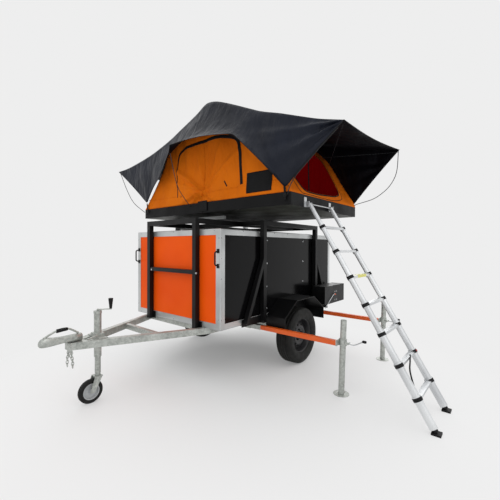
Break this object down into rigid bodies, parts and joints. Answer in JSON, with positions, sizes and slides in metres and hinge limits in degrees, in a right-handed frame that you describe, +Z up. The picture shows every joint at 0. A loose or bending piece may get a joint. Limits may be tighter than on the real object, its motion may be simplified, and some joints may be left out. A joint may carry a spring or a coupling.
{
  "type": "folding camper trailer",
  "caption": "Single-axle camper trailer: panelled load box in a tube rack, with a soft roof tent that unfolds to one side, a ladder, prop legs and a jockey wheel.",
  "frame": {"origin": "middle of the overall footprint, on the ground the trailer stands on", "axes": "+X forward to the coupling, +Y left to the ladder side, +Z up"},
  "size_m": [3.544, 3.995, 2.868],
  "materials": {
    "galvanised": "hot-dip galvanised",
    "profile_aluminium": "satin",
    "orange_panel": "painted satin",
    "orange_arm": "painted gloss",
    "black_panel": "gloss",
    "black_paint": "powder coated",
    "black_plastic": "moulded",
    "lamp_red": "lens",
    "road_tyre": "rubber",
    "grey_rim": "moulded",
    "tray_black": "powder coated",
    "mattress_cloth": "woven",
    "canvas_orange": "woven canvas",
    "fly_slate": "coated cloth",
    "spring_steel": "bare"
  },
  "bodies": {
    "trailer": {"chassis_frame": "galvanised", "drawbar_frame": "galvanised", "coupling_head": "galvanised", "coupling_handle": "black_plastic", "safety_chains": "galvanised", "axle_beam": "galvanised", "light_bar": "galvanised", "rear_lamps": "lamp_red", "jockey_clamp": "galvanised", "jockey_tube": "galvanised", "mudguard_left": "black_paint", "mudguard_right": "black_paint", "box_frame": "profile_aluminium", "panel_front": "orange_panel", "panel_left": "black_panel", "panel_right": "black_panel", "panel_floor": "black_panel", "panel_roof": "black_panel", "door_hinges": "galvanised", "grab_handles": "black_plastic", "rack_front": "black_paint", "rack_left": "black_paint", "rack_right": "black_paint", "plate_left": "black_paint", "plate_right": "black_paint", "rack_beams": "black_paint", "tent_tracks": "profile_aluminium", "tool_box": "black_paint", "arm_guides": "galvanised", "tray_fixed": "tray_black", "mattress_fixed": "mattress_cloth", "canvas_fixed": "canvas_orange", "fly_fixed": "fly_slate", "rods_fixed": "spring_steel"},
    "wheel_left": {"rim_left": "black_paint", "tyre_left": "road_tyre"},
    "wheel_right": {"rim_right": "black_paint", "tyre_right": "road_tyre"},
    "door_leaf_left": {"door_left": "black_panel"},
    "door_leaf_right": {"door_right": "black_panel"},
    "jockey_leg": {"jockey_stem": "galvanised"},
    "jockey_swivel": {"jockey_fork": "galvanised"},
    "jockey_wheel": {"jockey_rim": "grey_rim", "jockey_tyre": "road_tyre"},
    "stabiliser_front": {"arm_front": "orange_arm", "leg_clamp_front": "galvanised"},
    "stabiliser_rear": {"arm_rear": "orange_arm", "leg_clamp_rear": "galvanised"},
    "prop_front": {"leg_front": "galvanised"},
    "prop_rear": {"leg_rear": "galvanised"},
    "tent_half": {"tray_folding": "tray_black", "mattress_folding": "mattress_cloth", "canvas_folding": "canvas_orange", "fly_folding": "fly_slate", "rods_folding": "spring_steel", "ladder_bracket": "galvanised"},
    "ladder": {"ladder_rails": "profile_aluminium", "ladder_rungs": "profile_aluminium", "ladder_feet": "black_plastic"}
  },
  "joints": [
    {"name": "wheel_left_spin", "type": "hinge", "parent": "trailer", "child": "wheel_left", "pos_m": [-0.618, 0.4275, 0.318], "axis": [0, 1, 0], "continuous": true},
    {"name": "wheel_right_spin", "type": "hinge", "parent": "trailer", "child": "wheel_right", "pos_m": [-0.618, -1.2225, 0.318], "axis": [0, 1, 0], "continuous": true},
    {"name": "door_left_swing", "type": "hinge", "parent": "trailer", "child": "door_leaf_left", "pos_m": [-1.738, 0.2485, 1.033], "axis": [0, 0, -1], "range_deg": [0, 110]},
    {"name": "door_right_swing", "type": "hinge", "parent": "trailer", "child": "door_leaf_right", "pos_m": [-1.738, -1.0435, 1.033], "axis": [0, 0, 1], "range_deg": [0, 110]},
    {"name": "jockey_lift", "type": "slide", "parent": "trailer", "child": "jockey_leg", "axis": [0, 0, 1], "range_m": [0, 0.15]},
    {"name": "jockey_turn", "type": "hinge", "parent": "jockey_leg", "child": "jockey_swivel", "pos_m": [1.322, -0.3975, 0.222], "axis": [0, 0, 1], "continuous": true},
    {"name": "jockey_roll", "type": "hinge", "parent": "jockey_swivel", "child": "jockey_wheel", "pos_m": [1.384, -0.3975, 0.1], "axis": [0, 1, 0], "continuous": true},
    {"name": "arm_front_slide", "type": "slide", "parent": "trailer", "child": "stabiliser_front", "axis": [0, 1, 0], "range_m": [-0.5, 0]},
    {"name": "arm_rear_slide", "type": "slide", "parent": "trailer", "child": "stabiliser_rear", "axis": [0, 1, 0], "range_m": [-0.5, 0]},
    {"name": "leg_front_lift", "type": "slide", "parent": "stabiliser_front", "child": "prop_front", "axis": [-0.0698, 0, 0.9976], "range_m": [0, 0.33]},
    {"name": "leg_rear_lift", "type": "slide", "parent": "stabiliser_rear", "child": "prop_rear", "axis": [-0.0698, 0, 0.9976], "range_m": [0, 0.33]},
    {"name": "tent_fold", "type": "hinge", "parent": "trailer", "child": "tent_half", "pos_m": [-0.447, -0.2175, 1.822], "axis": [1, 0, 0], "range_deg": [0, 180], "deforming": ["canvas_fixed", "canvas_folding", "fly_fixed", "fly_folding", "rods_fixed", "rods_folding"]},
    {"name": "ladder_swing", "type": "hinge", "parent": "tent_half", "child": "ladder", "pos_m": [-0.218, 0.9345, 1.736], "axis": [1, 0, 0], "range_deg": [0, 90]}
  ]
}
